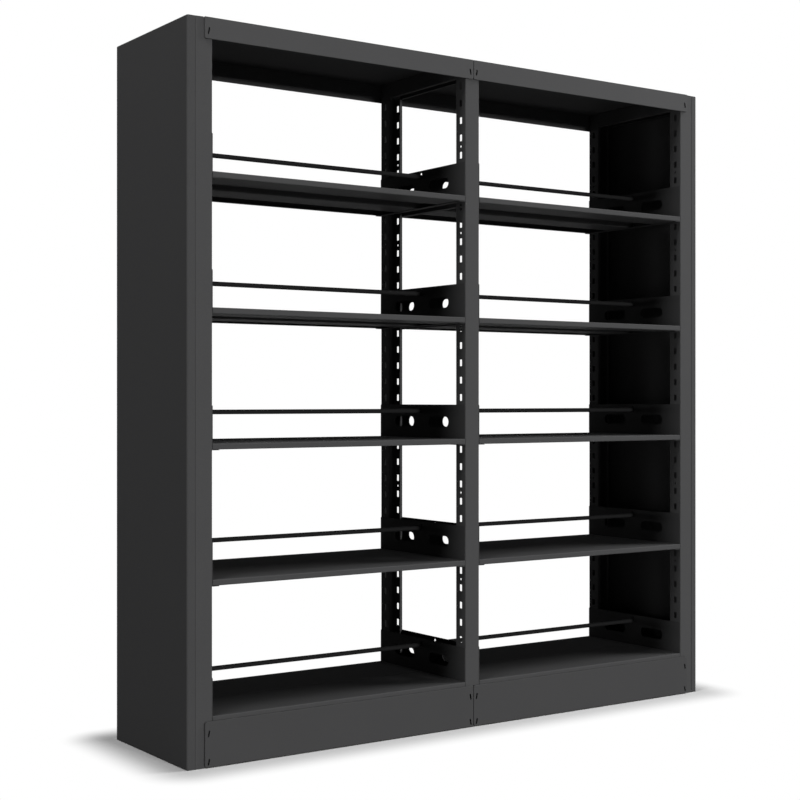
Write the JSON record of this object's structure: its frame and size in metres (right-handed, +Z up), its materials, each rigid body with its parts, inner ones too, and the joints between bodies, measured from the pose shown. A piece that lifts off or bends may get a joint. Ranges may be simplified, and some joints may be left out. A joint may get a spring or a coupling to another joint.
{
  "type": "shelving rack",
  "caption": "Free-standing steel shelving rack with slotted posts, hook-in brackets, folded shelves, stop rods, end panels, canopies and kick plates, open at front and back.",
  "frame": {"origin": "middle of the floor plan, on the floor", "axes": "+X along the rack to the right as seen from the front, -Y out of the front, +Z up"},
  "size_m": [1.898, 0.465, 2],
  "materials": {
    "upright_coat": "satin",
    "panel_coat": "satin",
    "canopy_coat": "satin",
    "kick_coat": "satin",
    "shelf_coat": "satin",
    "bracket_coat": "satin",
    "rod_coat": "satin"
  },
  "bodies": {
    "frame": {"post_left_front": "upright_coat", "post_left_rear": "upright_coat", "post_middle_front": "upright_coat", "post_middle_rear": "upright_coat", "post_right_front": "upright_coat", "post_right_rear": "upright_coat", "tie_left_top": "upright_coat", "tie_left_bottom": "upright_coat", "tie_middle_top": "upright_coat", "tie_middle_bottom": "upright_coat", "tie_right_top": "upright_coat", "tie_right_bottom": "upright_coat", "end_panel_left": "panel_coat", "end_panel_right": "panel_coat", "canopy_left": "canopy_coat", "canopy_right": "canopy_coat", "kick_plate_left_front": "kick_coat", "kick_plate_left_rear": "kick_coat", "kick_plate_right_front": "kick_coat", "kick_plate_right_rear": "kick_coat"},
    "shelf_unit_left_1": {"shelf_left_1": "shelf_coat", "bracket_left_1_outer": "bracket_coat", "bracket_left_1_inner": "bracket_coat"},
    "rod_left_1": {"stop_rod_left_1": "rod_coat"},
    "shelf_unit_left_2": {"shelf_left_2": "shelf_coat", "bracket_left_2_outer": "bracket_coat", "bracket_left_2_inner": "bracket_coat"},
    "rod_left_2": {"stop_rod_left_2": "rod_coat"},
    "shelf_unit_left_3": {"shelf_left_3": "shelf_coat", "bracket_left_3_outer": "bracket_coat", "bracket_left_3_inner": "bracket_coat"},
    "rod_left_3": {"stop_rod_left_3": "rod_coat"},
    "shelf_unit_left_4": {"shelf_left_4": "shelf_coat", "bracket_left_4_outer": "bracket_coat", "bracket_left_4_inner": "bracket_coat"},
    "rod_left_4": {"stop_rod_left_4": "rod_coat"},
    "shelf_unit_left_5": {"shelf_left_5": "shelf_coat", "bracket_left_5_outer": "bracket_coat", "bracket_left_5_inner": "bracket_coat"},
    "rod_left_5": {"stop_rod_left_5": "rod_coat"},
    "shelf_unit_right_1": {"shelf_right_1": "shelf_coat", "bracket_right_1_outer": "bracket_coat", "bracket_right_1_inner": "bracket_coat"},
    "rod_right_1": {"stop_rod_right_1": "rod_coat"},
    "shelf_unit_right_2": {"shelf_right_2": "shelf_coat", "bracket_right_2_outer": "bracket_coat", "bracket_right_2_inner": "bracket_coat"},
    "rod_right_2": {"stop_rod_right_2": "rod_coat"},
    "shelf_unit_right_3": {"shelf_right_3": "shelf_coat", "bracket_right_3_outer": "bracket_coat", "bracket_right_3_inner": "bracket_coat"},
    "rod_right_3": {"stop_rod_right_3": "rod_coat"},
    "shelf_unit_right_4": {"shelf_right_4": "shelf_coat", "bracket_right_4_outer": "bracket_coat", "bracket_right_4_inner": "bracket_coat"},
    "rod_right_4": {"stop_rod_right_4": "rod_coat"},
    "shelf_unit_right_5": {"shelf_right_5": "shelf_coat", "bracket_right_5_outer": "bracket_coat", "bracket_right_5_inner": "bracket_coat"},
    "rod_right_5": {"stop_rod_right_5": "rod_coat"}
  },
  "joints": [
    {"name": "shelf_left_1_lift", "type": "slide", "parent": "frame", "child": "shelf_unit_left_1", "axis": [0, 0, 1], "range_m": [0, 0.011]},
    {"name": "stop_rod_left_1_lift", "type": "slide", "parent": "shelf_unit_left_1", "child": "rod_left_1", "axis": [0, 0, 1], "range_m": [0, 0.009]},
    {"name": "shelf_left_2_lift", "type": "slide", "parent": "frame", "child": "shelf_unit_left_2", "axis": [0, 0, 1], "range_m": [0, 0.011]},
    {"name": "stop_rod_left_2_lift", "type": "slide", "parent": "shelf_unit_left_2", "child": "rod_left_2", "axis": [0, 0, 1], "range_m": [0, 0.009]},
    {"name": "shelf_left_3_lift", "type": "slide", "parent": "frame", "child": "shelf_unit_left_3", "axis": [0, 0, 1], "range_m": [0, 0.011]},
    {"name": "stop_rod_left_3_lift", "type": "slide", "parent": "shelf_unit_left_3", "child": "rod_left_3", "axis": [0, 0, 1], "range_m": [0, 0.009]},
    {"name": "shelf_left_4_lift", "type": "slide", "parent": "frame", "child": "shelf_unit_left_4", "axis": [0, 0, 1], "range_m": [0, 0.011]},
    {"name": "stop_rod_left_4_lift", "type": "slide", "parent": "shelf_unit_left_4", "child": "rod_left_4", "axis": [0, 0, 1], "range_m": [0, 0.009]},
    {"name": "shelf_left_5_lift", "type": "slide", "parent": "frame", "child": "shelf_unit_left_5", "axis": [0, 0, 1], "range_m": [0, 0.011]},
    {"name": "stop_rod_left_5_lift", "type": "slide", "parent": "shelf_unit_left_5", "child": "rod_left_5", "axis": [0, 0, 1], "range_m": [0, 0.009]},
    {"name": "shelf_right_1_lift", "type": "slide", "parent": "frame", "child": "shelf_unit_right_1", "axis": [0, 0, 1], "range_m": [0, 0.011]},
    {"name": "stop_rod_right_1_lift", "type": "slide", "parent": "shelf_unit_right_1", "child": "rod_right_1", "axis": [0, 0, 1], "range_m": [0, 0.009]},
    {"name": "shelf_right_2_lift", "type": "slide", "parent": "frame", "child": "shelf_unit_right_2", "axis": [0, 0, 1], "range_m": [0, 0.011]},
    {"name": "stop_rod_right_2_lift", "type": "slide", "parent": "shelf_unit_right_2", "child": "rod_right_2", "axis": [0, 0, 1], "range_m": [0, 0.009]},
    {"name": "shelf_right_3_lift", "type": "slide", "parent": "frame", "child": "shelf_unit_right_3", "axis": [0, 0, 1], "range_m": [0, 0.011]},
    {"name": "stop_rod_right_3_lift", "type": "slide", "parent": "shelf_unit_right_3", "child": "rod_right_3", "axis": [0, 0, 1], "range_m": [0, 0.009]},
    {"name": "shelf_right_4_lift", "type": "slide", "parent": "frame", "child": "shelf_unit_right_4", "axis": [0, 0, 1], "range_m": [0, 0.011]},
    {"name": "stop_rod_right_4_lift", "type": "slide", "parent": "shelf_unit_right_4", "child": "rod_right_4", "axis": [0, 0, 1], "range_m": [0, 0.009]},
    {"name": "shelf_right_5_lift", "type": "slide", "parent": "frame", "child": "shelf_unit_right_5", "axis": [0, 0, 1], "range_m": [0, 0.011]},
    {"name": "stop_rod_right_5_lift", "type": "slide", "parent": "shelf_unit_right_5", "child": "rod_right_5", "axis": [0, 0, 1], "range_m": [0, 0.009]}
  ]
}
